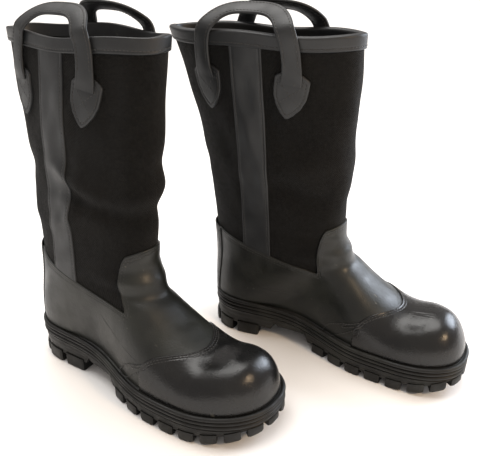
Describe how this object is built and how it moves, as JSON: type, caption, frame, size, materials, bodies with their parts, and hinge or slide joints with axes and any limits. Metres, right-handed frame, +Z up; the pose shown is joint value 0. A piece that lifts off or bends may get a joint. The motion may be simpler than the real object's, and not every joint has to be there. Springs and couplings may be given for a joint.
{
  "type": "pull-on fire boots",
  "caption": "Pair of tall pull-on work boots: leather foot, hard toe, textile shaft with side strips, lugged rubber soles, hinged pull straps.",
  "frame": {"origin": "bottom centre of the pair's bounding box, on the floor", "axes": "+Z up; -Y is where the right boot's toe points; +X is the wearer's left"},
  "size_m": [0.3124, 0.4986, 0.4015],
  "materials": {
    "leather": "smooth full-grain work leather, satin, creased at the instep",
    "grained_leather": "pebble-grained coated leather over the hard toe, glossy",
    "trim_leather": "fine-grained trim leather, satin, stitched along its edges",
    "shaft_textile": "coarse flat-woven heavy textile, matt",
    "lining_textile": "soft knitted lining, matt",
    "sole_rubber": "moulded black rubber, satin, scuffed on the lugs",
    "steel": "pressed sheet steel",
    "fibreboard": "compressed fibreboard, matt",
    "foam": "textile-faced foam, matt"
  },
  "bodies": {
    "right_boot": {"right_outsole": "sole_rubber", "right_midsole": "sole_rubber", "right_welt": "sole_rubber", "right_shank": "steel", "right_puncture_plate": "steel", "right_insole_board": "fibreboard", "right_footbed": "foam", "right_safety_toe_cap": "steel", "right_heel_stiffener": "fibreboard", "right_vamp": "leather", "right_toe_cover": "grained_leather", "right_heel_cover": "leather", "right_shaft_fabric": "shaft_textile", "right_lining": "lining_textile", "right_top_binding": "trim_leather", "right_lateral_side_strip": "trim_leather", "right_medial_side_strip": "trim_leather", "right_lateral_front_patch": "trim_leather", "right_lateral_rear_patch": "trim_leather", "right_medial_front_patch": "trim_leather", "right_medial_rear_patch": "trim_leather"},
    "left_boot": {"left_outsole": "sole_rubber", "left_midsole": "sole_rubber", "left_welt": "sole_rubber", "left_shank": "steel", "left_puncture_plate": "steel", "left_insole_board": "fibreboard", "left_footbed": "foam", "left_safety_toe_cap": "steel", "left_heel_stiffener": "fibreboard", "left_vamp": "leather", "left_toe_cover": "grained_leather", "left_heel_cover": "leather", "left_shaft_fabric": "shaft_textile", "left_lining": "lining_textile", "left_top_binding": "trim_leather", "left_lateral_side_strip": "trim_leather", "left_medial_side_strip": "trim_leather", "left_lateral_front_patch": "trim_leather", "left_lateral_rear_patch": "trim_leather", "left_medial_front_patch": "trim_leather", "left_medial_rear_patch": "trim_leather"},
    "right_lateral_pull_strap": {"right_lateral_pull_strap": "trim_leather"},
    "right_medial_pull_strap": {"right_medial_pull_strap": "trim_leather"},
    "left_lateral_pull_strap": {"left_lateral_pull_strap": "trim_leather"},
    "left_medial_pull_strap": {"left_medial_pull_strap": "trim_leather"}
  },
  "joints": [
    {"name": "left_boot_lift", "type": "slide", "parent": "right_boot", "child": "left_boot", "axis": [0, 0, 1], "range_m": [0, 0.42]},
    {"name": "right_lateral_strap_swing", "type": "hinge", "parent": "right_boot", "child": "right_lateral_pull_strap", "pos_m": [-0.11295, 0.13814, 0.338], "axis": [0, -1, 0], "range_deg": [0, 135]},
    {"name": "right_medial_strap_swing", "type": "hinge", "parent": "right_boot", "child": "right_medial_pull_strap", "pos_m": [-0.02761, 0.13814, 0.338], "axis": [0, 1, 0], "range_deg": [0, 60]},
    {"name": "left_lateral_strap_swing", "type": "hinge", "parent": "left_boot", "child": "left_lateral_pull_strap", "pos_m": [0.0959, 0.00461, 0.338], "axis": [-0.1149, 0.9934, 0], "range_deg": [0, 135]},
    {"name": "left_medial_strap_swing", "type": "hinge", "parent": "left_boot", "child": "left_medial_pull_strap", "pos_m": [0.01112, -0.0052, 0.338], "axis": [0.1149, -0.9934, 0], "range_deg": [0, 135]}
  ]
}
